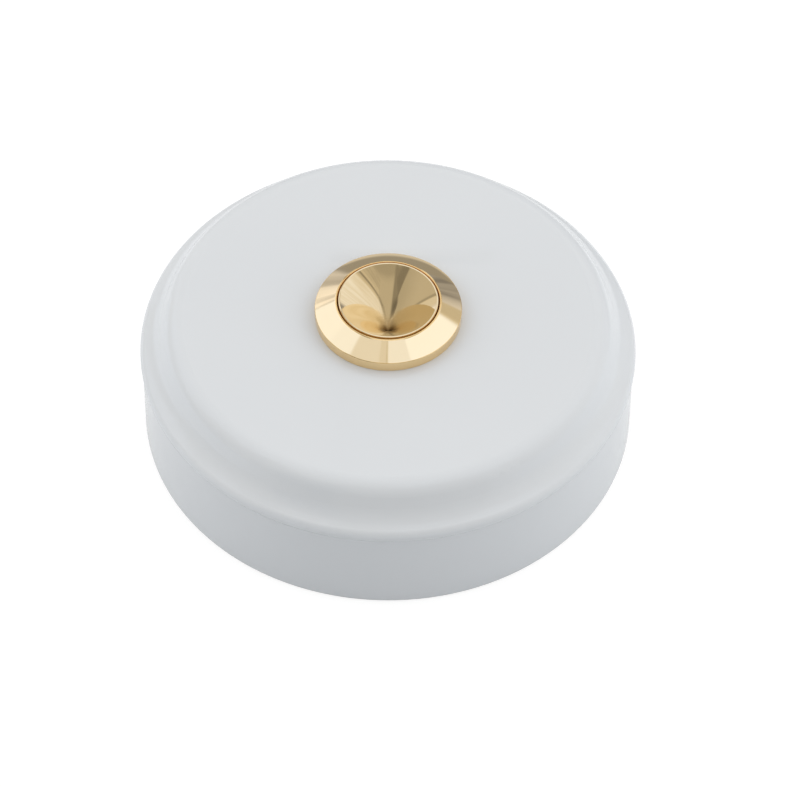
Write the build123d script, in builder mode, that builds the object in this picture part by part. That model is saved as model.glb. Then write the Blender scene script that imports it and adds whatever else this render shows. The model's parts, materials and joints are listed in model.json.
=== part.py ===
from build123d import *
import os
from math import cos, pi, sqrt

# A surface-mounted bell push: glazed porcelain housing, brass bezel and brass button.
# Millimetres, +Z out of the wall along the button's axis, origin at the centre of the foot on the wall.

# Porcelain housing, corners given before rounding
housing_height = 19.9
lip_corner_radius = 34.8
lip_drop = 5.35
lip_round = 1.2
shoulder_inset = 4.82
shoulder_round = 2.8
cove_inset = 2.55
cove_drop = 4.15
cove_round = 4.5
skirt_inset = 0.75
under_lip_drop = 1.3
under_lip_round = 0.2
foot_flare = 0.25
foot_round = 0.8
top_wall = 4.0
side_wall = 3.9
cavity_bevel = 3.5
cavity_bevel_drop = 4.5
barrel_hole_clearance = 0.2

# Brass bezel and barrel, built out from the button
bezel_rim_width = 0.6
bezel_rim_height = 1.52
bezel_height = 3.18
bezel_edge_break = 0.12
barrel_wall = 0.55
barrel_end_chamfer = 0.4
gasket_width = 1.0
gasket_depth = 0.7
gasket_clearance = 0.05

# Button
button_radius = 6.85
button_clearance = 0.15
button_land = 0.22
button_edge_break = 0.08
dish_depth = 6.6
dish_flare = 0.25
shoulder_width = 0.3
shoulder_height = 1.2
seal_groove_drop = 4.3
seal_section = 0.7
seal_groove_play = 0.05
travel = 1.6

# Plunger, moving contact and spring
plunger_flange_inset = 0.75
plunger_flange = 0.8
plunger_stem_radius = 2.2
plunger_spigot_radius = 1.9
plunger_spigot = 0.5
plunger_tail_radius = 1.2
plunger_tail = 0.6
bridge_thickness = 0.6
bridge_width = 3.4
bridge_room = 0.5
bridge_fit = 0.05
clip_thickness = 0.4
clip_radius = 1.75
spring_height = 6.3
spring_wire = 0.6
spring_wire_sides = 8
spring_turns = 3.5
spring_room = 0.4

# Switch base and terminals
base_clearance = 0.05
base_step = 0.25
base_floor = 2.5
base_rim_drop = 2.2
base_wall = 1.8
barrier_thickness = 1.2
barrier_height = 2.6
barrier_room = 0.5
sheet = 0.7
terminal_bend = 0.6
terminal_width = 4.4
tab_room = 0.18
slot_clearance = 0.05
slot_wall = 0.35
tip_radius = 0.8
tip_height = 0.4
tip_edge = 0.1
screw_edge = 1.8
screw_radius = 1.25
screw_hole_clearance = 0.05
screw_length = 2.9
screw_hole_spare = 0.2
screw_head_radius = 2.0
screw_head = 1.6
screw_head_chamfer = 0.3
screw_slot_width = 0.6
screw_slot_depth = 0.8
clamp_washer = 0.5
clamp_washer_side = 4.2

# Retaining ring
ring_thickness = 0.6
ring_bite = 0.4
ring_width = 1.25
ring_play = 0.03
ring_gap = 2.6
ring_lug_radius = 1.1
ring_lug_hole = 0.45
barrel_tail = 0.75

# Clamping stack and bracket
stack_clearance = 0.15
cushion_thickness = 0.8
cushion_width = 3.35
keyhole_spacing = 36.0
keyhole_head_radius = 4.2
keyhole_neck_radius = 2.2
keyhole_slide = 5.2
keyhole_margin = 2.2
bracket_sheet = 1.2
bracket_pad_width = 4.15
bracket_bend = 1.0
bracket_bend_room = 0.1
bracket_setback = 0.6
bracket_corner = 2.5
washer_thickness = 0.6
washer_width = 2.35
washer_teeth = 12
tooth_notch_width = 1.6
tooth_notch_depth = 0.9
nut_thickness = 3.0
nut_wall = 2.0
nut_sides = 6
nut_chamfer = 0.5
thread_clearance = 0.05

# Places worked out from those sizes
lip_height = housing_height - lip_drop
skirt_radius = lip_corner_radius - skirt_inset
foot_radius = skirt_radius + foot_flare
cavity_radius = skirt_radius - side_wall
cavity_top = housing_height - top_wall
button_bore = button_radius + button_clearance
button_top = housing_height + bezel_height
dish_radius = button_radius - button_land
stop_height = button_top - dish_depth
button_bottom = stop_height - shoulder_height
shoulder_radius = button_radius + shoulder_width
shoulder_bore = shoulder_radius + button_clearance
base_bore_in_barrel = shoulder_bore + base_step
groove_radius = base_bore_in_barrel + ring_bite
barrel_radius = groove_radius + barrel_wall
barrel_hole_radius = barrel_radius + barrel_hole_clearance
gasket_radius = barrel_radius + gasket_width
bezel_radius = gasket_radius + bezel_rim_width
flange_bottom = button_bottom - plunger_flange
floor_height = flange_bottom - spring_height
base_bottom = floor_height - base_floor
base_rim = flange_bottom - base_rim_drop
base_radius = base_bore_in_barrel - base_clearance
base_bore = base_radius - base_wall
spring_radius = base_bore - spring_room - spring_wire / 2
bridge_half = spring_radius - spring_wire / 2 - bridge_room
ring_outer = groove_radius - ring_play
ring_inner = ring_outer - ring_width
tab_end = sqrt((ring_inner - tab_room) ** 2 - (terminal_width / 2) ** 2)
screw_at = tab_end - screw_edge
slot_outer = screw_at - screw_radius - screw_hole_clearance - slot_wall
terminal_inner = slot_outer - slot_clearance - sheet
pad_top = floor_height + sheet
tip_top = pad_top + tip_height
bridge_bottom = tip_top + travel
bridge_top = bridge_bottom + bridge_thickness
tab_bottom = base_bottom - sheet
head_top = tab_bottom - clamp_washer
ring_bottom = base_bottom - ring_thickness
barrel_end = ring_bottom - barrel_tail
bracket_top = cavity_top - cushion_thickness
washer_top = bracket_top - bracket_sheet
nut_top = washer_top - washer_thickness
stack_bore = barrel_radius + stack_clearance

os.makedirs("parts", exist_ok=True)


def corner(sketch, radius, height):
    """The sketch's vertex nearest to a given radius and height."""
    return sketch.vertices().sort_by_distance((radius, height))[0]


def write(part, name):
    """Label a finished piece and write it under its own name."""
    part.label = name
    export_step(part, f"parts/{name}.step")


# Porcelain housing: a turned shell, open at the back
shoulder_corner = (lip_corner_radius - shoulder_inset, housing_height)
cove_corner = (lip_corner_radius - cove_inset, housing_height - cove_drop)
lip_corner = (lip_corner_radius, lip_height)
skirt_corner = (skirt_radius, lip_height - under_lip_drop)
foot_corner = (foot_radius, 0)

with BuildPart() as porcelain_housing:
    with BuildSketch(Plane.XZ) as housing_section:
        with BuildLine():
            Polyline(
                (barrel_hole_radius, housing_height),
                shoulder_corner,
                cove_corner,
                lip_corner,
                skirt_corner,
                foot_corner,
                (cavity_radius, 0),
                (cavity_radius, cavity_top - cavity_bevel_drop),
                (cavity_radius - cavity_bevel, cavity_top),
                (barrel_hole_radius, cavity_top),
                close=True,
            )
        make_face()
        fillet(corner(housing_section, *shoulder_corner), shoulder_round)
        fillet(corner(housing_section, *cove_corner), cove_round)
        fillet(corner(housing_section, *lip_corner), lip_round)
        fillet(corner(housing_section, *skirt_corner), under_lip_round)
        fillet(corner(housing_section, *foot_corner), foot_round)
    revolve(axis=Axis.Z)
write(porcelain_housing.part, "porcelain_housing")

# Bezel and barrel, turned from one bar
bezel_rim = (bezel_radius, housing_height + bezel_rim_height)

with BuildPart() as bezel_barrel:
    with BuildSketch(Plane.XZ) as bezel_section:
        with BuildLine():
            Polyline(
                (button_bore, button_top),
                bezel_rim,
                (bezel_radius, housing_height),
                (gasket_radius, housing_height),
                (gasket_radius, housing_height + gasket_depth),
                (barrel_radius, housing_height + gasket_depth),
                (barrel_radius, barrel_end),
                (base_bore_in_barrel, barrel_end),
                (base_bore_in_barrel, ring_bottom),
                (groove_radius, ring_bottom),
                (groove_radius, base_bottom),
                (base_bore_in_barrel, base_bottom),
                (base_bore_in_barrel, base_rim),
                (shoulder_bore, base_rim),
                (shoulder_bore, stop_height),
                (button_bore, stop_height),
                close=True,
            )
        make_face()
        chamfer(corner(bezel_section, *bezel_rim), bezel_edge_break)
        chamfer(corner(bezel_section, button_bore, button_top), bezel_edge_break)
        chamfer(corner(bezel_section, barrel_radius, barrel_end), barrel_end_chamfer)
    revolve(axis=Axis.Z)
write(bezel_barrel.part, "bezel_barrel")

# Gasket in the recess under the flange
with BuildPart() as bezel_gasket:
    with BuildSketch(Plane.XY.offset(housing_height)):
        Circle(gasket_radius - gasket_clearance)
        Circle(barrel_radius + gasket_clearance, mode=Mode.SUBTRACT)
    extrude(amount=gasket_depth)
write(bezel_gasket.part, "bezel_gasket")

# Button: a turned cup with a flared dish, a seal groove and a retaining shoulder
seal_inner = button_bore - seal_groove_play - seal_section
seal_height = button_top - seal_groove_drop
seal_half = seal_section / 2 + seal_groove_play

with BuildPart() as push_button:
    with BuildSketch(Plane.XZ) as button_section:
        with BuildLine():
            dish_wall = SagittaArc((0, stop_height), (dish_radius, button_top), dish_flare)
            Polyline(
                dish_wall @ 1,
                (button_radius, button_top),
                (button_radius, seal_height + seal_half),
                (seal_inner - seal_groove_play, seal_height + seal_half),
                (seal_inner - seal_groove_play, seal_height - seal_half),
                (button_radius, seal_height - seal_half),
                (button_radius, stop_height),
                (shoulder_radius, stop_height),
                (shoulder_radius, button_bottom),
                (plunger_spigot_radius + bridge_fit, button_bottom),
                (plunger_spigot_radius + bridge_fit, button_bottom + plunger_spigot),
                (0, button_bottom + plunger_spigot),
                dish_wall @ 0,
            )
        make_face()
        chamfer(corner(button_section, button_radius, button_top), button_edge_break)
        chamfer(corner(button_section, dish_radius, button_top), button_edge_break)
    revolve(axis=Axis.Z)
write(push_button.part, "push_button")

# Square-cut seal ring in the button's groove
with BuildPart() as button_seal:
    with BuildSketch(Plane.XY.offset(seal_height)):
        Circle(seal_inner + seal_section)
        Circle(seal_inner, mode=Mode.SUBTRACT)
    extrude(amount=seal_section / 2, both=True)
write(button_seal.part, "button_seal")

# Plunger: flange under the button, stem, and the spigot that carries the bridge
plunger_flange_radius = shoulder_radius - plunger_flange_inset
tail_end = bridge_bottom - plunger_tail

with BuildPart() as plunger:
    with BuildSketch(Plane.XZ):
        with BuildLine():
            Polyline(
                (0, button_bottom + plunger_spigot),
                (plunger_spigot_radius, button_bottom + plunger_spigot),
                (plunger_spigot_radius, button_bottom),
                (plunger_flange_radius, button_bottom),
                (plunger_flange_radius, flange_bottom),
                (plunger_stem_radius, flange_bottom),
                (plunger_stem_radius, bridge_top),
                (plunger_tail_radius, bridge_top),
                (plunger_tail_radius, tail_end),
                (0, tail_end),
                close=True,
            )
        make_face()
    revolve(axis=Axis.Z)
write(plunger.part, "plunger")

# Moving contact: a strip with round ends
with BuildPart() as contact_bridge:
    with BuildSketch(Plane.XY.offset(bridge_bottom)):
        SlotOverall(2 * bridge_half, bridge_width)
        Circle(plunger_tail_radius + bridge_fit, mode=Mode.SUBTRACT)
    extrude(amount=bridge_thickness)
write(contact_bridge.part, "contact_bridge")

# Push-on washer under the bridge
with BuildPart() as bridge_clip:
    with BuildSketch(Plane.XY.offset(bridge_bottom)):
        Circle(clip_radius)
        Circle(plunger_tail_radius + bridge_fit, mode=Mode.SUBTRACT)
    extrude(amount=-clip_thickness)
write(bridge_clip.part, "bridge_clip")

# Return spring: wire drawn with a few flats, its ends ground level on their seats
with BuildPart() as return_spring:
    with BuildLine() as coil:
        Helix(spring_height / spring_turns, spring_height, spring_radius, center=(0, 0, floor_height))
    with BuildSketch(Plane(origin=coil.line @ 0, z_dir=coil.line % 0)):
        RegularPolygon(spring_wire / 2, spring_wire_sides)
    sweep(is_frenet=True)
    with BuildSketch(Plane.XY.offset(floor_height)):
        Circle(spring_radius + spring_wire)
    extrude(amount=spring_height, mode=Mode.INTERSECT)
write(return_spring.part, "return_spring")

# Switch base: a moulded cup with terminal slots, blind screw holes and a barrier between the wires
barrier_length = 2 * (ring_inner - barrier_room)
screw_hole_top = head_top + screw_length + screw_hole_spare
web_mid = terminal_inner + sheet / 2

with BuildPart() as switch_base:
    with BuildSketch(Plane.XY.offset(base_bottom)):
        Circle(base_radius)
    extrude(amount=base_rim - base_bottom)
    with BuildSketch(Plane.XY.offset(floor_height)):
        Circle(base_bore)
    extrude(amount=base_rim - floor_height, mode=Mode.SUBTRACT)
    with BuildSketch(Plane.XY.offset(base_bottom)):
        with Locations((-web_mid, 0), (web_mid, 0)):
            Rectangle(sheet + 2 * slot_clearance, terminal_width + 2 * slot_clearance)
    extrude(amount=base_floor, mode=Mode.SUBTRACT)
    with BuildSketch(Plane.XY.offset(base_bottom)):
        with Locations((-screw_at, 0), (screw_at, 0)):
            Circle(screw_radius + screw_hole_clearance)
    extrude(amount=screw_hole_top - base_bottom, mode=Mode.SUBTRACT)
    with BuildSketch(Plane.XY.offset(base_bottom)):
        Rectangle(barrier_thickness, barrier_length)
    extrude(amount=-barrier_height)
write(switch_base.part, "switch_base")


def terminal(side):
    """A folded strip: contact pad on the floor, web through it, screw tab under the base."""
    with BuildPart() as strip:
        with BuildSketch(Plane.XZ) as strip_section:
            with BuildLine():
                Polyline(
                    (side * terminal_inner, pad_top),
                    (side * bridge_half, pad_top),
                    (side * bridge_half, floor_height),
                    (side * (terminal_inner + sheet), floor_height),
                    (side * (terminal_inner + sheet), base_bottom),
                    (side * tab_end, base_bottom),
                    (side * tab_end, tab_bottom),
                    (side * terminal_inner, tab_bottom),
                    close=True,
                )
            make_face()
            fillet(corner(strip_section, side * terminal_inner, pad_top), terminal_bend)
            fillet(corner(strip_section, side * terminal_inner, tab_bottom), terminal_bend)
        extrude(amount=terminal_width / 2, both=True)
        with Locations((side * screw_at, 0, tab_bottom)):
            Cylinder(
                screw_radius + screw_hole_clearance,
                sheet,
                align=(Align.CENTER, Align.CENTER, Align.MIN),
                mode=Mode.SUBTRACT,
            )
    return strip.part


write(terminal(-1), "left_terminal")
write(terminal(1), "right_terminal")

# Contact tips on the two pads
tip_at = bridge_half - tip_radius - tip_edge

with BuildPart() as contact_tips:
    with BuildSketch(Plane.XY.offset(pad_top)):
        with Locations((-tip_at, 0), (tip_at, 0)):
            Circle(tip_radius)
    extrude(amount=tip_height)
write(contact_tips.part, "contact_tips")

# Square washers that clamp the bell wire
with BuildPart() as terminal_washers:
    with BuildSketch(Plane.XY.offset(head_top)):
        with Locations((-screw_at, 0), (screw_at, 0)):
            Rectangle(clamp_washer_side, clamp_washer_side)
            Circle(screw_radius + screw_hole_clearance, mode=Mode.SUBTRACT)
    extrude(amount=clamp_washer)
write(terminal_washers.part, "terminal_washers")

# Slotted terminal screws, heads to the wall
with BuildPart() as terminal_screws:
    with BuildSketch(Plane.XY.offset(head_top)):
        with Locations((-screw_at, 0), (screw_at, 0)):
            Circle(screw_radius)
    extrude(amount=screw_length)
    with BuildSketch(Plane.XY.offset(head_top)):
        with Locations((-screw_at, 0), (screw_at, 0)):
            Circle(screw_head_radius)
    extrude(amount=-screw_head)
    head_faces = terminal_screws.faces().filter_by(Plane.XY).group_by(Axis.Z)[0]
    chamfer(head_faces.edges(), screw_head_chamfer)
    with BuildSketch(Plane.XY.offset(head_top - screw_head)):
        with Locations((-screw_at, 0), (screw_at, 0)):
            Rectangle(2 * screw_head_radius, screw_slot_width)
    extrude(amount=screw_slot_depth, mode=Mode.SUBTRACT)
write(terminal_screws.part, "terminal_screws")

# Inside circlip with two lugs for the pliers
lug_x = ring_gap / 2 + ring_lug_radius
lug_y = sqrt((ring_outer - ring_lug_radius) ** 2 - lug_x**2)

with BuildPart() as retaining_ring:
    with BuildSketch(Plane.XY.offset(ring_bottom)):
        Circle(ring_outer)
        Circle(ring_inner, mode=Mode.SUBTRACT)
        with Locations((-lug_x, lug_y), (lug_x, lug_y)):
            Circle(ring_lug_radius)
        Rectangle(ring_gap, ring_outer, align=(Align.CENTER, Align.MIN), mode=Mode.SUBTRACT)
        with Locations((-lug_x, lug_y), (lug_x, lug_y)):
            Circle(ring_lug_hole, mode=Mode.SUBTRACT)
    extrude(amount=ring_thickness)
write(retaining_ring.part, "retaining_ring")

# Soft washer under the porcelain
with BuildPart() as cushion_washer:
    with BuildSketch(Plane.XY.offset(bracket_top)):
        Circle(stack_bore + cushion_width)
        Circle(stack_bore, mode=Mode.SUBTRACT)
    extrude(amount=cushion_thickness)
write(cushion_washer.part, "cushion_washer")

# Mounting bracket: a folded strap with a round pad under the nut and a keyhole in each foot
keyhole_at = keyhole_spacing / 2
keyhole_length = keyhole_head_radius + keyhole_slide + keyhole_neck_radius
keyhole_head_at = keyhole_head_radius - keyhole_length / 2
outer_bend = bracket_bend + bracket_sheet
bracket_pad_radius = stack_bore + bracket_pad_width
bracket_width = keyhole_length + 2 * keyhole_margin
bracket_reach = keyhole_at + keyhole_head_radius + bracket_bend_room + outer_bend
leg_inner = bracket_reach - bracket_sheet
foot_inner = keyhole_at - keyhole_head_radius - keyhole_margin
foot_top = bracket_setback + bracket_sheet

with BuildPart() as mounting_bracket:
    with BuildSketch(Plane.XZ) as bracket_section:
        with BuildLine():
            Polyline(
                (0, bracket_top),
                (bracket_reach, bracket_top),
                (bracket_reach, bracket_setback),
                (foot_inner, bracket_setback),
                (foot_inner, foot_top),
                (leg_inner, foot_top),
                (leg_inner, washer_top),
                (0, washer_top),
                close=True,
            )
        make_face()
        fillet(corner(bracket_section, bracket_reach, bracket_top), outer_bend)
        fillet(corner(bracket_section, bracket_reach, bracket_setback), outer_bend)
        fillet(corner(bracket_section, leg_inner, foot_top), bracket_bend)
        fillet(corner(bracket_section, leg_inner, washer_top), bracket_bend)
        mirror(about=Plane.YZ)
    extrude(amount=bracket_pad_radius, both=True)
    with BuildSketch(Plane.XY):
        RectangleRounded(2 * bracket_reach, bracket_width, bracket_corner)
        Circle(bracket_pad_radius)
        Circle(stack_bore, mode=Mode.SUBTRACT)
    extrude(amount=bracket_top, mode=Mode.INTERSECT)
    with BuildSketch(Plane.XY.offset(bracket_setback)):
        with Locations((-keyhole_at, keyhole_head_at), (keyhole_at, keyhole_head_at)):
            Circle(keyhole_head_radius)
            Rectangle(2 * keyhole_neck_radius, keyhole_slide, align=(Align.CENTER, Align.MIN))
            with Locations((0, keyhole_slide)):
                Circle(keyhole_neck_radius)
    extrude(amount=bracket_sheet, mode=Mode.SUBTRACT)
write(mounting_bracket.part, "mounting_bracket")

# Toothed lock washer
with BuildPart() as lock_washer:
    with BuildSketch(Plane.XY.offset(nut_top)):
        Circle(stack_bore + washer_width)
        Circle(stack_bore, mode=Mode.SUBTRACT)
        with PolarLocations(stack_bore, washer_teeth):
            Rectangle(2 * tooth_notch_depth, tooth_notch_width, mode=Mode.SUBTRACT)
    extrude(amount=washer_thickness)
write(lock_washer.part, "lock_washer")

# Hexagon lock nut, its corners turned down on both faces
nut_bottom = nut_top - nut_thickness
nut_flat_radius = barrel_radius + nut_wall
nut_face_radius = nut_flat_radius - nut_chamfer / 2
nut_corner_radius = nut_flat_radius / cos(pi / nut_sides)

with BuildPart() as lock_nut:
    with BuildSketch(Plane.XY.offset(nut_bottom)):
        RegularPolygon(nut_flat_radius, nut_sides, major_radius=False)
        Circle(barrel_radius + thread_clearance, mode=Mode.SUBTRACT)
    extrude(amount=nut_thickness)
    with BuildSketch(Plane.XZ):
        with BuildLine():
            Polyline(
                (0, nut_bottom),
                (nut_face_radius, nut_bottom),
                (nut_corner_radius, nut_bottom + nut_chamfer),
                (nut_corner_radius, nut_top - nut_chamfer),
                (nut_face_radius, nut_top),
                (0, nut_top),
                close=True,
            )
        make_face()
    revolve(axis=Axis.Z, mode=Mode.INTERSECT)
write(lock_nut.part, "lock_nut")
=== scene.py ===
import json
from math import cos, pi, radians, sin, tan

import bpy
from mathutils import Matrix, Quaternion, Vector


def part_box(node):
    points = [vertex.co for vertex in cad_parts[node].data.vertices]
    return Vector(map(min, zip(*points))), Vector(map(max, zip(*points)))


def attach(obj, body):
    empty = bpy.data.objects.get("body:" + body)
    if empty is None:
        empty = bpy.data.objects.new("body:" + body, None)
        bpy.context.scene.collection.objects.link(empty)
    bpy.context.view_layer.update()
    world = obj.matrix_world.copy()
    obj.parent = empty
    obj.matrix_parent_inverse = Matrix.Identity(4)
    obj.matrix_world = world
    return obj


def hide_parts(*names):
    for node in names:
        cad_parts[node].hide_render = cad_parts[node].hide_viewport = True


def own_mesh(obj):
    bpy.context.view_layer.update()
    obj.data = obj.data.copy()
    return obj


# A porcelain bell push with a brass bezel and button, on a white studio floor.
# Metres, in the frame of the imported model: +Z along the button's axis, the foot on z = 0.

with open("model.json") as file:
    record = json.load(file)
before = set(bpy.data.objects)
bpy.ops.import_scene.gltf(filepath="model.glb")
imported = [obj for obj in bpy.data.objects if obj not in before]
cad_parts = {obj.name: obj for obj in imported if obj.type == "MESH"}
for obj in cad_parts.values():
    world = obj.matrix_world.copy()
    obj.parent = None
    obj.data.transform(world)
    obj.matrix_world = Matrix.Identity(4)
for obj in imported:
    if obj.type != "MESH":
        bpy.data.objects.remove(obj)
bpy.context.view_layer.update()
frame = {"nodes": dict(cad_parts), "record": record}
mm = 0.001
scene = bpy.context.scene
scene.view_settings.view_transform = "Standard"

# Camera, fitted to the photograph's ellipses
image_side = 787
sensor = 36.0
focal_pixels = 3183.7
camera_distance = 0.450
camera_elevation = radians(50.128)
camera_roll = radians(0.5)
camera_aim = Vector((0.000807, 0.0, 0.003087))
camera_near = 0.01

# Bezel and barrel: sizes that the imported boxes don't give
bezel_rim = 1.52 * mm
bezel_edge = 0.12 * mm
bore_edge = 0.22 * mm
button_bore = 7.0 * mm
shoulder_bore = 7.3 * mm
base_bore = 7.55 * mm
groove_depth = 0.4 * mm
gasket_radius = 9.5 * mm
gasket_depth = 0.7 * mm
barrel_radius = 8.5 * mm
barrel_chamfer = 0.4 * mm
thread_pitch = 1.0 * mm
thread_depth = 0.34 * mm
thread_gap = 0.6 * mm
thread_rows = 12
thread_flank = 1.4
thread_crest = 0.2

# Button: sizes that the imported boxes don't give
button_radius = 6.85 * mm
button_land = 0.22 * mm
button_edge = 0.10 * mm
button_shoulder = 1.2 * mm
inner_edge = 0.06 * mm
dish_flare = 0.25 * mm
dish_steps = 44
dish_crowding = 1.3
dish_tip = 0.01 * mm
seal_drop = 4.3 * mm
seal_groove = 0.8 * mm
seal_floor = 6.2 * mm
spigot_radius = 1.95 * mm
spigot_depth = 0.5 * mm

# Turned meshes
turned_segments = 192
turned_crisp = radians(40)
rounding_steps = 4
rounding_share = 0.45
brace_grip = 0.04 * mm
brace_share = 3
same_radius = 0.01 * mm

# Spring wire
spring_wire = 0.6 * mm
spring_turns = 3.5
spring_steps = 256
spring_sides = 14
spring_crisp = radians(60)

# Brass finish: sizes, fades and roughness
haze_size = 3 * mm
ripple_size = 5 * mm
ripple_depth = 0.006 * mm
polish_rough = (0.040, 0.075)
# Painted shade: over this reach the dish's tip darkens towards brown; the tip is also rougher
tip_shade_reach = (0.2 * mm, 1.4 * mm)
tip_dull = (0.6 * mm, 4.2 * mm)
tip_rough = 0.16
# Painted reflection at the bezel's rim: where its deeper gold fades in
rim_fade = (0.12 * mm, 0.02 * mm)
# Painted reflection at the bore's mouth: where its deeper gold fades, and how far past the bore's edge it
# reaches
mouth_fade = 0.05 * mm
mouth_width = 0.06 * mm
mouth_rough = 0.20
turned_fade = 0.4 * mm
turned_grain = 0.12 * mm
turned_stretch = (0.15, 0.15, 1)
turned_rough = 0.24
wall_fade = 0.02 * mm
wall_margin = 0.015 * mm
# Painted bounce light: the walls of the narrow gap between button and bezel turn to a rougher, mostly diffuse
# amber
gap_light_rough = 0.35
gap_light_cover = 0.75

# Brass colours, in pairs where noise mixes two
polished_tones = ((0.940, 0.808, 0.575, 1), (0.952, 0.828, 0.605, 1))
# Painted bounce light: the amber of the gap walls between button and bezel
gap_light_tones = ((0.62, 0.31, 0.055, 1), (0.74, 0.40, 0.085, 1))
turned_tones = ((0.62, 0.43, 0.17, 1), (0.76, 0.56, 0.26, 1))
# Painted reflection: a deeper gold at the bezel's outer edge
rim_reflection_gold = (0.95, 0.72, 0.40, 1)
# Painted reflection: a deeper gold at the mouth of the bezel's bore
mouth_reflection_gold = (0.95, 0.70, 0.36, 1)
# Painted shade for the deepest part of the dish
tip_shade_brown = (0.42, 0.32, 0.19, 1)

# Porcelain finish
glaze_tones = ((0.732, 0.751, 0.770, 1), (0.756, 0.771, 0.788, 1))
body_tones = ((0.66, 0.64, 0.60, 1), (0.76, 0.74, 0.70, 1))
glaze_rough = (0.10, 0.16)
drift_size = 18 * mm
wave_size = 9 * mm
wave_depth = 0.012 * mm
pore_size = 0.35 * mm
pore_depth = 0.05 * mm
bare_foot = (0.25 * mm, 0.6 * mm)
bare_rough = 0.5

# Noise: the range that most of its values lie in, and the core of that range
noise_range = (0.3, 0.7)
noise_core = (0.35, 0.65)

# Floor
floor_side = 6.0
floor_drop = 0.02 * mm
grey_paper = (0.63, 0.645, 0.66, 1)
mirror_paper, mirror_glow = (0.72, 0.72, 0.72, 1), 0.28
camera_paper, camera_glow = (0.26, 0.26, 0.26, 1), 0.825

# Even light, by how far a direction points to the back and up
light_turn = 0.10
front_reach, front_light = (-0.98, -0.18), (0.08, 1.82)
back_reach, back_light = (0.10, 0.85), (1.0, 0.45)
zenith_reach, zenith_light = (0.42, 0.95), 0.81
sky_reach = (0.10, 0.80)
low_sky, high_sky = (0.968, 1.0, 1.028, 1), (1.0, 0.998, 0.992, 1)

# Reflections: a plain backdrop, and a warmer shade where the glow is dim
backdrop_reach, backdrop_glow = (0.0, 0.8), (0.62, 0.90)
white = (1.0, 1.0, 1.0, 1)
warm_shade = (1.0, 0.87, 0.64, 1)
warm_levels = (0.6, 1.05)

# Panels: bearings, heights and soft edge in degrees, glow, and lean if any, each hung over those before it
panels = (
    ((-200, 200), (60, 95), 18, 0.95),
    ((-78, -2), (60, 84), 4, 0.84),
    ((-22, -2), (62, 84), 4, 0.78),
    ((-4, -2), (58, 84), 2, 0.68),
    ((-82, 66), (-20, 48), 6, 0.52),
    ((-86, -58), (50, 57), 4, 0.28),
    ((-24, 44), (51, 57), 4, 0.40),
    ((-128, -78), (-20, 23), 4, 0.50),
    ((-104, -80), (24, 46), 6, 0.62),
    ((-46, -22), (18, 51), 7, 0.28),
    ((-46, -26), (5, 36), 5, 0.15),
    ((46, 122), (-60, 28), 4, 0.81, 0.23),
    ((26, 62), (27, 29), 1.5, 0.26, 0.23),
    ((122, 142), (18, 32), 5, 0.60),
    ((143, 165), (-20, 28), 5, 0.42),
    ((56, 118), (52, 68), 5, 1.08),
    ((97, 120), (38, 60), 6, 1.08),
    ((-144, -100), (25, 56), 5, 1.06),
    ((-112, -80), (50, 62), 5, 1.02),
)

# Flag behind the object
flag_distance = 0.12
flag_height = 0.075
flag_middle = radians(81)
flag_sweep = radians(60)
flag_steps = 48
flag_tint = (1.0, 0.94, 0.88, 1)
flag_left, flag_left_glow = (-75 * mm, -25 * mm), (0.84, 0.40)
flag_right, flag_right_glow = (70 * mm, 112 * mm), (0.0, 0.38)
flag_dip, flag_dip_glow = (-5 * mm, 30 * mm), (0.0, -0.08)
flag_upper, flag_upper_gain = (0.45 * flag_height, flag_height), (0.92, 1.15)
band_size, band_stretch, band_gain = 1 / 90, (0.2, 0.2, 1), (0.75, 1.25)

# Upright cards on both sides of the dish, and where they are solid
side_place = 6.5 * mm
side_front = -12.0 * mm
side_back = 15.0 * mm
side_top = 44.0 * mm
side_gap = 0.05 * mm
bezel_lean, bezel_fade = 0.45, (6.8 * mm, 8.4 * mm)
top_fade = (side_top - 6 * mm, side_top - 1 * mm)
back_fade = (side_back - 3 * mm, side_back)

# Left card: its front edge, its drift, an arc and a corner
edge_slope, edge_reach, edge_tones = 1.55, (37.3 * mm, 39.1 * mm), (0.50, 0.28)
left_drift, left_drift_tones = (-3 * mm, 5 * mm), (-0.04, 0.04)
arc_slope, arc_shift = 0.95, 16.55 * mm
arc_reach, arc_tones = (0.35 * mm, 1.1 * mm), (-0.16, 0.0)
corner_reach, corner_tones = (0.3 * mm, 1.4 * mm), (0.0, 0.17)

# Right card: a bowed crease, the tones below and above it, streaks along it and a drift
crease_start, crease_height = -2 * mm, 30.5 * mm
crease_bow, crease_slope = 0.0667 / mm, 0.567
crease_reach, crease_gain = (0.2 * mm, 0.9 * mm), (0.52, 1.0)
below_reach, below_tones = (-3.2 * mm, -0.6 * mm), (0.82, 0.54)
above_reach, above_tones = (0.6 * mm, 5 * mm), (0.62, 0.49)
step_reach = (-0.3 * mm, 0.3 * mm)
streak_size, streak_stretch, streak_tones = 1.6 * mm, 0.2, (-0.05, 0.04)
right_drift, right_drift_tones = (1.5 * mm, 6 * mm), (0.0, 0.05)

# Low card behind the bezel: its place, the light along its foot, and where it fades out
low_start = (-11 * mm, 12.5 * mm)
low_end = (16 * mm, 12.5 * mm)
low_top = 25 * mm
low_gap = 0.3 * mm
low_shade = (1.0, 0.91, 0.77, 1)
foot_bend, foot_rise = 5 * mm, 0.02 / mm
foot_reach, foot_tones = (21.25 * mm, 21.6 * mm), (0.66, 0.34)
low_left_fade, low_right_fade = (-9.5 * mm, -7 * mm), (13.5 * mm, 16 * mm)
low_top_fade = (22.7 * mm, 23.3 * mm)


def link(obj):
    """Put a new object in the scene."""
    scene.collection.objects.link(obj)
    return obj


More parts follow.
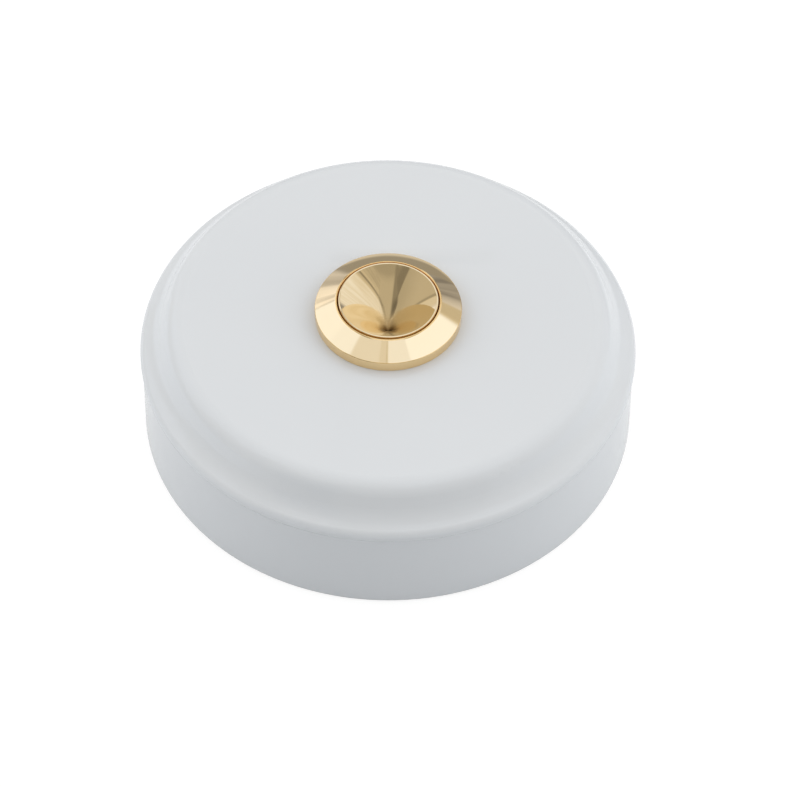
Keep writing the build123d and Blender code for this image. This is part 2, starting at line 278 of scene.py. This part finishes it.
def socket(node, name, value):
    """Set a socket to a constant, or link it to another socket."""
    if isinstance(value, bpy.types.NodeSocket):
        node.id_data.links.new(value, node.inputs[name])
    else:
        node.inputs[name].default_value = value


def add(tree, kind, settings=None, **inputs):
    """Add a node, set its properties, and set or link its inputs by name."""
    node = tree.nodes.new(kind)
    for key, value in (settings or {}).items():
        setattr(node, key, value)
    for name, value in inputs.items():
        socket(node, name.replace("_", " "), value)
    return node


def math_node(tree, operation, first, second=None):
    """One step of arithmetic."""
    node = add(tree, "ShaderNodeMath", {"operation": operation})
    socket(node, 0, first)
    if second is not None:
        socket(node, 1, second)
    return node.outputs[0]


def plus(tree, first, second):
    """The sum of two values."""
    return math_node(tree, "ADD", first, second)


def minus(tree, first, second):
    """The difference of two values."""
    return math_node(tree, "SUBTRACT", first, second)


def times(tree, first, second):
    """The product of two values."""
    return math_node(tree, "MULTIPLY", first, second)


def remap(tree, value, low, high, to_low, to_high):
    """Map a value's range smoothly onto another, held at both ends."""
    node = add(tree, "ShaderNodeMapRange", {"interpolation_type": "SMOOTHSTEP"})
    limits = {"Value": value, "From Min": low, "From Max": high, "To Min": to_low, "To Max": to_high}
    for name, number in limits.items():
        socket(node, name, number)
    return node.outputs["Result"]


def fade_in(tree, value, low, high):
    """None below a range of values and one above it."""
    return remap(tree, value, low, high, 0.0, 1.0)


def fade_out(tree, value, low, high):
    """One below a range of values and none above it."""
    return remap(tree, value, low, high, 1.0, 0.0)


def mix_colour(tree, factor, first, second):
    """Blend two colours."""
    node = add(tree, "ShaderNodeMix", {"data_type": "RGBA"})
    for place, value in ((0, factor), (6, first), (7, second)):
        socket(node, place, value)
    return node.outputs[2]


def mix_shader(tree, factor, first, second):
    """Blend two shaders."""
    node = tree.nodes.new("ShaderNodeMixShader")
    for place, value in enumerate((factor, first, second)):
        tree.links.new(value, node.inputs[place])
    return node.outputs[0]


def noise(tree, place, size, detail=3.0, stretch=(1, 1, 1)):
    """Noise whose blobs are about a given size, in metres."""
    mapped = add(tree, "ShaderNodeMapping", Vector=place, Scale=stretch).outputs[0]
    return add(tree, "ShaderNodeTexNoise", Vector=mapped, Scale=1.0 / size, Detail=detail).outputs["Fac"]


def bump(tree, height, depth, **inputs):
    """Relief from a height that runs from none to one."""
    return add(tree, "ShaderNodeBump", Height=height, Distance=depth, Strength=1.0, **inputs).outputs[0]


def empty_tree(owner):
    """The node tree of a material or a world, with nothing in it."""
    owner.use_nodes = True
    owner.node_tree.nodes.clear()
    return owner.node_tree


def show(tree, shader, output="ShaderNodeOutputMaterial"):
    """Link a shader to the tree's output."""
    tree.links.new(shader, tree.nodes.new(output).inputs["Surface"])


def object_place(tree):
    """Object coordinates."""
    return tree.nodes.new("ShaderNodeTexCoord").outputs["Object"]


def new_material(name):
    """A node material, its tree, its object coordinates and its shader."""
    material = bpy.data.materials.new(name)
    tree = empty_tree(material)
    shader = tree.nodes.new("ShaderNodeBsdfPrincipled")
    show(tree, shader.outputs[0])
    return material, tree, object_place(tree), shader


def finish_material(name, dark, light, rough, size, grain, relief, metallic=0.0, stretch=(1, 1, 1)):
    """Two tones and two roughnesses mixed by noise, with a finer grain as relief."""
    material, tree, place, shader = new_material(name)
    blotch = noise(tree, place, size, stretch=stretch)
    socket(shader, "Base Color", mix_colour(tree, fade_in(tree, blotch, *noise_range), dark, light))
    socket(shader, "Roughness", remap(tree, blotch, *noise_range, *rough))
    socket(shader, "Metallic", metallic)
    fine = noise(tree, place, grain, detail=2.0, stretch=stretch)
    socket(shader, "Normal", bump(tree, fine, relief))
    return material


def porcelain_material():
    """White glaze with a faint drift of tone and a slow wave; the foot is wiped bare and matt."""
    material, tree, place, shader = new_material("porcelain_glaze")
    drift = noise(tree, place, drift_size)
    wave = noise(tree, place, wave_size, detail=1.0)
    pores = noise(tree, place, pore_size, detail=2.0)
    height = add(tree, "ShaderNodeSeparateXYZ", Vector=place).outputs["Z"]
    bare = fade_out(tree, height, *bare_foot)
    glaze = mix_colour(tree, drift, *glaze_tones)
    body = mix_colour(tree, pores, *body_tones)
    socket(shader, "Base Color", mix_colour(tree, bare, glaze, body))
    gloss = remap(tree, drift, *noise_range, *glaze_rough)
    socket(shader, "Roughness", plus(tree, gloss, times(tree, bare, bare_rough)))
    relief = bump(tree, times(tree, pores, bare), pore_depth)
    socket(shader, "Normal", bump(tree, wave, wave_depth, Normal=relief))
    return material


def brass_material(name, wall, turned_below=None, rim=None, mouth=None, tip=False):
    """Mirror brass with faint polishing haze: painted bounce light between two radii, a diffuse amber for the
    walls of a narrow gap, painted reflection as a deeper gold outside a rim radius and inside a mouth radius,
    left as turned below a height, and rougher with painted shade in a dish's tip."""
    material, tree, place, shader = new_material(name)
    haze = noise(tree, place, haze_size)
    spot = add(tree, "ShaderNodeSeparateXYZ", Vector=place)
    flat = add(tree, "ShaderNodeCombineXYZ", X=spot.outputs["X"], Y=spot.outputs["Y"], Z=0.0).outputs[0]
    radius = add(tree, "ShaderNodeVectorMath", {"operation": "LENGTH"}, Vector=flat).outputs["Value"]
    colour = mix_colour(tree, haze, *polished_tones)
    rough = remap(tree, haze, *noise_range, *polish_rough)
    # Painted shade: the dish darkens towards brown at its tip, where it is deepest; it is rougher there too
    if tip:
        colour = mix_colour(tree, fade_out(tree, radius, *tip_shade_reach), colour, tip_shade_brown)
        rough = plus(tree, rough, remap(tree, radius, *tip_dull, tip_rough, 0.0))
    # Painted reflection: outside the rim radius the brass is tinted a deeper gold, standing in for light
    # reflected between the rim and the glaze
    if rim is not None:
        outside = fade_in(tree, radius, rim - rim_fade[0], rim - rim_fade[1])
        colour = mix_colour(tree, outside, colour, rim_reflection_gold)
    # Painted reflection: inside the mouth radius the bore's edge is tinted a deeper gold, standing in for
    # light reflected in the gap; it is rougher there too
    if mouth is not None:
        inside = fade_out(tree, radius, mouth - mouth_fade, mouth + mouth_fade)
        colour = mix_colour(tree, inside, colour, mouth_reflection_gold)
        rough = plus(tree, rough, times(tree, inside, mouth_rough))
    if turned_below is not None:
        marks = noise(tree, place, turned_grain, detail=2.0, stretch=turned_stretch)
        turned = fade_out(tree, spot.outputs["Z"], turned_below - turned_fade, turned_below)
        colour = mix_colour(tree, turned, colour, mix_colour(tree, marks, *turned_tones))
        rough = plus(tree, rough, times(tree, turned, turned_rough))
    # Painted bounce light: between two radii the wall of the narrow gap becomes a diffuse amber, standing in
    # for light bouncing between the brass walls
    from_inner = fade_in(tree, radius, wall[0] - wall_fade, wall[0])
    to_outer = fade_out(tree, radius, wall[1], wall[1] + wall_fade)
    painted_gap_light = times(tree, from_inner, to_outer)
    amber = mix_colour(tree, haze, *gap_light_tones)
    socket(shader, "Base Color", mix_colour(tree, painted_gap_light, colour, amber))
    socket(shader, "Roughness", plus(tree, rough, times(tree, painted_gap_light, gap_light_rough)))
    socket(shader, "Metallic", minus(tree, 1.0, times(tree, painted_gap_light, gap_light_cover)))
    ripple = noise(tree, place, ripple_size, detail=1.0)
    socket(shader, "Normal", bump(tree, ripple, ripple_depth))
    return material


def smooth_piece(name, vertices, faces, crisp):
    """A smooth mesh in the scene, with its edges sharp above an angle."""
    mesh = bpy.data.meshes.new(name)
    mesh.from_pydata(vertices, [], faces)
    mesh.validate()
    mesh.shade_smooth()
    mesh.set_sharp_from_angle(angle=crisp)
    return link(bpy.data.objects.new(name, mesh))


def rounded(corners):
    """A profile of (radius, height, rounding) corners, rounded by less where their sides are short
    and left as they are where the rounding is none."""
    places = [Vector((r, z)) for r, z, rounding in corners]
    points = []
    for i, corner in enumerate(places):
        rounding = corners[i][2]
        if not rounding:
            points.append(corner)
            continue
        before, after = places[i - 1] - corner, places[(i + 1) % len(places)] - corner
        longest = rounding_share * min(before.length, after.length)
        reach = min(rounding / tan(before.angle(after) / 2), longest)
        start, end = corner + before.normalized() * reach, corner + after.normalized() * reach
        for k in range(rounding_steps + 1):
            t = k / rounding_steps
            points.append(start * (1 - t) ** 2 + corner * (2 * t * (1 - t)) + end * t**2)
    return points


def braced(points):
    """Add a point near both ends of every long side of a profile, so that its shading stays true."""
    result = []
    for i, start in enumerate(points):
        side = points[(i + 1) % len(points)] - start
        result.append(start)
        if side.length > brace_share * brace_grip:
            step = side.normalized() * brace_grip
            result += [start + step, start + side - step]
    return result


def turned_piece(name, profile, thread=None):
    """Revolve a closed profile of (radius, height); thread gives a radius change by height and angle."""
    rows = len(profile)
    vertices, faces = [], []
    for i in range(turned_segments):
        angle = 2 * pi * i / turned_segments
        here, there = i * rows, ((i + 1) % turned_segments) * rows
        for k, point in enumerate(profile):
            r = point.x + (thread(point, angle) if thread else 0.0)
            vertices.append((r * cos(angle), r * sin(angle), point.y))
            n = (k + 1) % rows
            faces.append((here + k, there + k, there + n, here + n))
    return smooth_piece(name, vertices, faces, turned_crisp)


def spring_piece(name, low, high, radius):
    """A round-wire compression spring with closed ends, ground level with its seats."""
    vertices, faces = [], []
    for i in range(spring_steps + 1):
        t = i / spring_steps
        angle = 2 * pi * spring_turns * t
        climb = t - sin(2 * pi * t) / (2 * pi)
        height = low + spring_wire / 2 + (high - low - spring_wire) * climb
        for k in range(spring_sides):
            a = 2 * pi * k / spring_sides
            r = radius + spring_wire / 2 * cos(a)
            z = min(max(height + spring_wire / 2 * sin(a), low), high)
            vertices.append((r * cos(angle), r * sin(angle), z))
    for i in range(spring_steps):
        here, there = i * spring_sides, (i + 1) * spring_sides
        for k in range(spring_sides):
            n = (k + 1) % spring_sides
            faces.append((here + k, there + k, there + n, here + n))
    faces.append(tuple(range(spring_sides)))
    faces.append(tuple(spring_steps * spring_sides + k for k in reversed(range(spring_sides))))
    return smooth_piece(name, vertices, faces, spring_crisp)


def stage_sheet(name, corners, faces, material_name):
    """A thin piece of the stage, with its material's empty tree."""
    mesh = bpy.data.meshes.new(name)
    mesh.from_pydata(corners, [], faces)
    material = bpy.data.materials.new(material_name)
    mesh.materials.append(material)
    return link(bpy.data.objects.new(name, mesh)), empty_tree(material)


def only_reflected(obj):
    """Hide a piece of the stage from all but the gloss."""
    obj.visible_camera = False
    obj.visible_diffuse = False
    obj.visible_shadow = False


def tinted(tree, tone, shade):
    """White where a tone is bright, and shaded where it is dim."""
    return mix_colour(tree, fade_out(tree, tone, *warm_levels), white, shade)


def paper(tree, colour, glow=0.0):
    """White paper: what it reflects, and what it adds to that."""
    both = tree.nodes.new("ShaderNodeAddShader")
    tree.links.new(add(tree, "ShaderNodeBsdfDiffuse", Color=colour).outputs[0], both.inputs[0])
    tree.links.new(add(tree, "ShaderNodeEmission", Strength=glow).outputs[0], both.inputs[1])
    return both.outputs[0]


def window(tree, value, low, high, soft):
    """One between two angles in degrees, falling to none over a soft edge outside them."""
    rising = fade_in(tree, value, radians(low - soft), radians(low))
    falling = fade_out(tree, value, radians(high), radians(high + soft))
    return times(tree, rising, falling)


def hang(tree, level, bearing, elevation, bearings, heights, soft, glow, lean=0.0):
    """Hang a panel: bearings from behind the camera, positive to the right, and heights, in degrees."""
    leaning = minus(tree, elevation, times(tree, bearing, lean))
    mask = times(tree, window(tree, bearing, *bearings, soft), window(tree, leaning, *heights, soft))
    return plus(tree, level, times(tree, minus(tree, glow, level), mask))


def upright_card(name, start, end, low, high, paint, shade=warm_shade):
    """A card between two places on the ground that only gloss sees; paint gives its glow and where it
    is solid."""
    corners = [(*start, low), (*end, low), (*end, high), (*start, high)]
    card, tree = stage_sheet(name, corners, [(0, 1, 2, 3)], name)
    axes = add(tree, "ShaderNodeSeparateXYZ", Vector=object_place(tree))
    tone, solid = paint(tree, axes.outputs)
    glow = add(tree, "ShaderNodeEmission", Strength=tone, Color=tinted(tree, tone, shade))
    clear = tree.nodes.new("ShaderNodeBsdfTransparent")
    show(tree, mix_shader(tree, solid, clear.outputs[0], glow.outputs[0]))
    only_reflected(card)


def beside_dish(tree, along, up):
    """Where a side card is solid: not where the bezel would show it, nor at its top and back."""
    past_bezel = fade_in(tree, plus(tree, along, times(tree, up, bezel_lean)), *bezel_fade)
    under_top = fade_out(tree, up, *top_fade)
    before_back = fade_out(tree, along, *back_fade)
    return times(tree, times(tree, past_bezel, under_top), before_back)


def left_card(tree, axes):
    """An even tone, darker to the front, with a dark arc low at the back and a lighter corner past it."""
    along, up = axes["Y"], axes["Z"]
    to_front = minus(tree, up, times(tree, along, edge_slope))
    tone = remap(tree, to_front, *edge_reach, *edge_tones)
    tone = plus(tree, tone, remap(tree, along, *left_drift, *left_drift_tones))
    past_arc = plus(tree, minus(tree, along, times(tree, up, arc_slope)), arc_shift)
    corner = remap(tree, past_arc, *corner_reach, *corner_tones)
    arc = remap(tree, math_node(tree, "ABSOLUTE", past_arc), *arc_reach, *arc_tones)
    return plus(tree, tone, plus(tree, corner, arc)), beside_dish(tree, along, up)


def right_card(tree, axes):
    """Dim above a bowed dark crease and bright below it, with soft streaks along it."""
    along, up = axes["Y"], axes["Z"]
    run = minus(tree, along, crease_start)
    slope = plus(tree, times(tree, run, crease_bow), crease_slope)
    over = minus(tree, minus(tree, up, crease_height), times(tree, run, slope))
    below = remap(tree, over, *below_reach, *below_tones)
    above = remap(tree, over, *above_reach, *above_tones)
    step = times(tree, minus(tree, above, below), fade_in(tree, over, *step_reach))
    lines = add(tree, "ShaderNodeCombineXYZ", X=times(tree, along, streak_stretch), Y=0.0, Z=over).outputs[0]
    streaks = remap(tree, noise(tree, lines, streak_size), *noise_core, *streak_tones)
    tone = plus(tree, plus(tree, below, step), streaks)
    tone = plus(tree, tone, remap(tree, along, *right_drift, *right_drift_tones))
    crease = remap(tree, math_node(tree, "ABSOLUTE", over), *crease_reach, *crease_gain)
    return times(tree, tone, crease), beside_dish(tree, along, up)


def low_card(tree, axes):
    """Light along its foot, which rises to the right, and dark above."""
    across, up = axes["X"], axes["Z"]
    far = math_node(tree, "MAXIMUM", minus(tree, across, foot_bend), 0.0)
    over = minus(tree, up, times(tree, times(tree, far, far), foot_rise))
    tone = remap(tree, over, *foot_reach, *foot_tones)
    sides = times(tree, fade_in(tree, across, *low_left_fade), fade_out(tree, across, *low_right_fade))
    return tone, times(tree, sides, fade_out(tree, up, *low_top_fade))


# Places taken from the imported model
housing_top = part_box("porcelain_housing")[1].z
bezel_low, bezel_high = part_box("bezel_barrel")
button_low, button_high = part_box("push_button")
ring_low, ring_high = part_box("retaining_ring")
base_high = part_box("switch_base")[1]
spring_low, spring_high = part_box("return_spring")
washer_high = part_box("cushion_washer")[1]
bezel_radius = bezel_high.x
barrel_end = bezel_low.z
button_top = button_high.z
button_end = button_low.z
stop_height = button_end + button_shoulder

# Materials for every slot of the record
finishes = {
    "contact_brass": dict(
        name="machined_brass", dark=(0.52, 0.36, 0.14, 1), light=(0.70, 0.51, 0.24, 1), rough=(0.24, 0.38),
        size=2.5 * mm, metallic=1.0, grain=0.10 * mm, relief=0.004 * mm),
    "contact_metal": dict(
        name="contact_silver", dark=(0.70, 0.70, 0.68, 1), light=(0.86, 0.86, 0.84, 1), rough=(0.16, 0.28),
        size=0.8 * mm, metallic=1.0, grain=0.06 * mm, relief=0.002 * mm),
    "plated_steel": dict(
        name="zinc_plate", dark=(0.58, 0.59, 0.61, 1), light=(0.68, 0.68, 0.67, 1), rough=(0.30, 0.40),
        size=3.0 * mm, metallic=1.0, grain=0.12 * mm, relief=0.004 * mm),
    "spring_steel": dict(
        name="drawn_steel", dark=(0.26, 0.26, 0.28, 1), light=(0.42, 0.41, 0.40, 1), rough=(0.26, 0.40),
        size=1.6 * mm, metallic=1.0, grain=0.08 * mm, relief=0.004 * mm),
    "black_rubber": dict(
        name="matt_rubber", dark=(0.018, 0.018, 0.019, 1), light=(0.034, 0.034, 0.033, 1), rough=(0.60, 0.78),
        size=1.2 * mm, grain=0.08 * mm, relief=0.010 * mm),
    "fibre": dict(
        name="red_fibre", dark=(0.20, 0.050, 0.035, 1), light=(0.34, 0.095, 0.060, 1), rough=(0.70, 0.86),
        size=0.9 * mm, stretch=(1, 3, 1), grain=0.14 * mm, relief=0.030 * mm),
    "white_moulding": dict(
        name="white_nylon", dark=(0.70, 0.70, 0.67, 1), light=(0.78, 0.78, 0.75, 1), rough=(0.38, 0.50),
        size=2.0 * mm, grain=0.20 * mm, relief=0.006 * mm),
    "dark_moulding": dict(
        name="brown_phenolic", dark=(0.022, 0.015, 0.011, 1), light=(0.052, 0.034, 0.024, 1),
        rough=(0.26, 0.40), size=1.8 * mm, grain=0.16 * mm, relief=0.008 * mm),
}
materials = {
    "porcelain": porcelain_material(),
    # Button brass: painted bounce light on its outer wall in the gap, and painted shade at its dish's tip
    "polished_brass": brass_material("mirror_brass", (button_radius - wall_margin, button_bore), tip=True),
}
for slot, finish in finishes.items():
    materials[slot] = finish_material(**finish)
slots = {part["node"]: part["material_slot"] for part in frame["record"]["subparts"]}
for node, obj in frame["nodes"].items():
    obj.material_slots[0].material = materials[slots[node]]

# Bezel and barrel: crisp turned edges and a fine thread up to the flange
thread_top = washer_high.z - thread_gap


def thread(point, angle):
    """Depth of the thread at a height and angle, run out at its upper end."""
    if point.x < barrel_radius - same_radius or point.y > thread_top:
        return 0.0
    phase = (point.y / thread_pitch - angle / (2 * pi)) % 1.0
    fade = min(1.0, (thread_top - point.y) / thread_pitch)
    return -thread_depth * fade * min(1.0, max(0.0, thread_flank * abs(2 * phase - 1) - thread_crest))


gasket_top = housing_top + gasket_depth
thread_foot = barrel_end + barrel_chamfer
bezel_profile = rounded([
    (barrel_radius, gasket_top, bezel_edge),
    (gasket_radius, gasket_top, bezel_edge),
    (gasket_radius, housing_top, bezel_edge),
    (bezel_radius, housing_top, bezel_edge),
    (bezel_radius, housing_top + bezel_rim, bezel_edge),
    (button_bore, button_top, bore_edge),
    (button_bore, stop_height, bezel_edge),
    (shoulder_bore, stop_height, bezel_edge),
    (shoulder_bore, base_high.z, bezel_edge),
    (base_bore, base_high.z, bezel_edge),
    (base_bore, ring_high.z, bezel_edge),
    (base_bore + groove_depth, ring_high.z, bezel_edge),
    (base_bore + groove_depth, ring_low.z, bezel_edge),
    (base_bore, ring_low.z, bezel_edge),
    (base_bore, barrel_end, bezel_edge),
    (barrel_radius - barrel_chamfer, barrel_end, bezel_edge),
    (barrel_radius, thread_foot, bezel_edge),
])
shank_rows = int((gasket_top - thread_foot) / thread_pitch * thread_rows)
for k in range(1, shank_rows):
    bezel_profile.append(Vector((barrel_radius, thread_foot + (gasket_top - thread_foot) * k / shank_rows)))
bezel = turned_piece("bezel_turned", braced(bezel_profile), thread=thread)
# Bezel brass: painted bounce light on its bore wall, and painted reflection at its rim and at its bore's
# mouth
bezel.data.materials.append(brass_material(
    "bezel_brass", (button_radius, button_bore + wall_margin), turned_below=housing_top, rim=bezel_radius,
    mouth=button_bore + bore_edge + mouth_width))
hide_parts("bezel_barrel")
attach(bezel, "housing")

# Button: the same turned form with a true dish down to its tip
dish_radius = button_radius - button_land
chord = Vector((dish_radius, button_top - stop_height))
bend = (chord.length**2 / 4 + dish_flare**2) / (2 * dish_flare)
hub = chord / 2 + Vector((chord.y, -chord.x)) / chord.length * (bend - dish_flare)
dish = []
for k in range(dish_steps):
    r = max(dish_tip, dish_radius * (k / dish_steps) ** dish_crowding)
    dish.append((r, stop_height + hub.y + (bend**2 - (r - hub.x) ** 2) ** 0.5, 0.0))
seal_high = button_top - seal_drop + seal_groove / 2
seal_low = seal_high - seal_groove
shoulder_radius = button_high.x
button = turned_piece("button_turned", braced(rounded(dish + [
    (dish_radius, button_top, button_edge),
    (button_radius, button_top, button_edge),
    (button_radius, seal_high, inner_edge),
    (seal_floor, seal_high, inner_edge),
    (seal_floor, seal_low, inner_edge),
    (button_radius, seal_low, inner_edge),
    (button_radius, stop_height, inner_edge),
    (shoulder_radius, stop_height, inner_edge),
    (shoulder_radius, button_end, inner_edge),
    (spigot_radius, button_end, inner_edge),
    (spigot_radius, button_end + spigot_depth, inner_edge),
    (dish_tip, button_end + spigot_depth, 0.0),
])))
button.data.materials.append(materials["polished_brass"])
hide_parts("push_button")
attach(button, "button")

# Return spring, with a mesh of its own
spring = spring_piece("return_spring_wire", spring_low.z, spring_high.z, spring_high.x - spring_wire / 2)
spring.data.materials.append(materials["spring_steel"])
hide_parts("return_spring")
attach(spring, "housing")
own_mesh(spring)

# Floor: grey enough not to flood the skirt, white where the camera, the metal and the glaze see it
half = floor_side / 2
floor_corners = [(x, y, -floor_drop) for x, y in ((-half, -half), (half, -half), (half, half), (-half, half))]
floor, floor_tree = stage_sheet("floor", floor_corners, [(0, 1, 2, 3)], "studio_floor")
rays = floor_tree.nodes.new("ShaderNodeLightPath").outputs
floor_gloss = math_node(floor_tree, "MAXIMUM", rays["Is Glossy Ray"], rays["Is Transmission Ray"])
lit, mirrored = paper(floor_tree, grey_paper), paper(floor_tree, mirror_paper, mirror_glow)
unseen = mix_shader(floor_tree, floor_gloss, lit, mirrored)
seen = paper(floor_tree, camera_paper, camera_glow)
show(floor_tree, mix_shader(floor_tree, rays["Is Camera Ray"], unseen, seen))

# Studio: an even soft light for the porcelain, and panels that only the gloss shows
world = bpy.data.worlds.new("studio")
scene.world = world
sky_tree = empty_tree(world)
direction = sky_tree.nodes.new("ShaderNodeTexCoord").outputs["Generated"]
sky_axes = add(sky_tree, "ShaderNodeSeparateXYZ", Vector=direction).outputs
sky_across, sky_along, sky_up = sky_axes["X"], sky_axes["Y"], sky_axes["Z"]
from_front = plus(sky_tree, sky_along, times(sky_tree, sky_across, light_turn))
front_part = remap(sky_tree, from_front, *front_reach, *front_light)
back_part = remap(sky_tree, sky_along, *back_reach, *back_light)
around = times(sky_tree, front_part, back_part)
overhead = fade_in(sky_tree, sky_up, *zenith_reach)
even_light = plus(sky_tree, around, times(sky_tree, minus(sky_tree, zenith_light, around), overhead))
sky_colour = mix_colour(sky_tree, fade_in(sky_tree, sky_up, *sky_reach), low_sky, high_sky)
light = add(sky_tree, "ShaderNodeBackground", Strength=even_light, Color=sky_colour)
sky_bearing = math_node(sky_tree, "ARCTAN2", sky_across, times(sky_tree, sky_along, -1.0))
sky_elevation = math_node(sky_tree, "ARCSINE", sky_up)
shown = remap(sky_tree, sky_up, *backdrop_reach, *backdrop_glow)
for panel in panels:
    shown = hang(sky_tree, shown, sky_bearing, sky_elevation, *panel)
reflection = add(sky_tree, "ShaderNodeBackground", Strength=shown, Color=tinted(sky_tree, shown, warm_shade))
sky_gloss = sky_tree.nodes.new("ShaderNodeLightPath").outputs["Is Glossy Ray"]
sky_shader = mix_shader(sky_tree, sky_gloss, light.outputs[0], reflection.outputs[0])
show(sky_tree, sky_shader, "ShaderNodeOutputWorld")

# Dark flag behind the object, which only shows as a reflection in the brass
flag_turns = [flag_middle + flag_sweep * (2 * k / flag_steps - 1) for k in range(flag_steps + 1)]
flag_arc = [(flag_distance * cos(a), flag_distance * sin(a)) for a in flag_turns]
flag_corners = [(x, y, z) for z in (0.0, flag_height) for x, y in flag_arc]
flag_faces = [(k, k + 1, flag_steps + 2 + k, flag_steps + 1 + k) for k in range(flag_steps)]
flag, flag_tree = stage_sheet("flag", flag_corners, flag_faces, "flag_grey")
flag_place = object_place(flag_tree)
flag_axes = add(flag_tree, "ShaderNodeSeparateXYZ", Vector=flag_place).outputs
grey = remap(flag_tree, flag_axes["X"], *flag_left, *flag_left_glow)
grey = plus(flag_tree, grey, remap(flag_tree, flag_axes["X"], *flag_right, *flag_right_glow))
grey = plus(flag_tree, grey, remap(flag_tree, flag_axes["X"], *flag_dip, *flag_dip_glow))
grey = times(flag_tree, grey, remap(flag_tree, flag_axes["Z"], *flag_upper, *flag_upper_gain))
bands = noise(flag_tree, flag_place, band_size, detail=2.0, stretch=band_stretch)
grey = times(flag_tree, grey, remap(flag_tree, bands, *noise_core, *band_gain))
show(flag_tree, add(flag_tree, "ShaderNodeEmission", Strength=grey, Color=flag_tint).outputs[0])
only_reflected(flag)

# Upright cards on both sides of the dish and behind the bezel, which only show as reflections
for name, side, paint in (("left_card", -side_place, left_card), ("right_card", side_place, right_card)):
    upright_card(name, (side, side_front), (side, side_back), button_top + side_gap, side_top, paint)
upright_card("back_card", low_start, low_end, housing_top + low_gap, low_top, low_card, shade=low_shade)

# Camera
camera_data = bpy.data.cameras.new("camera")
camera_data.sensor_width = sensor
camera_data.lens = focal_pixels * sensor / image_side
camera_data.clip_start = camera_near
camera = link(bpy.data.objects.new("camera", camera_data))
back = Vector((0, -cos(camera_elevation), sin(camera_elevation)))
camera.location = camera_aim + back * camera_distance
camera.rotation_mode = "QUATERNION"
camera.rotation_quaternion = (-back).to_track_quat("-Z", "Y") @ Quaternion((0, 0, 1), camera_roll)
scene.camera = camera
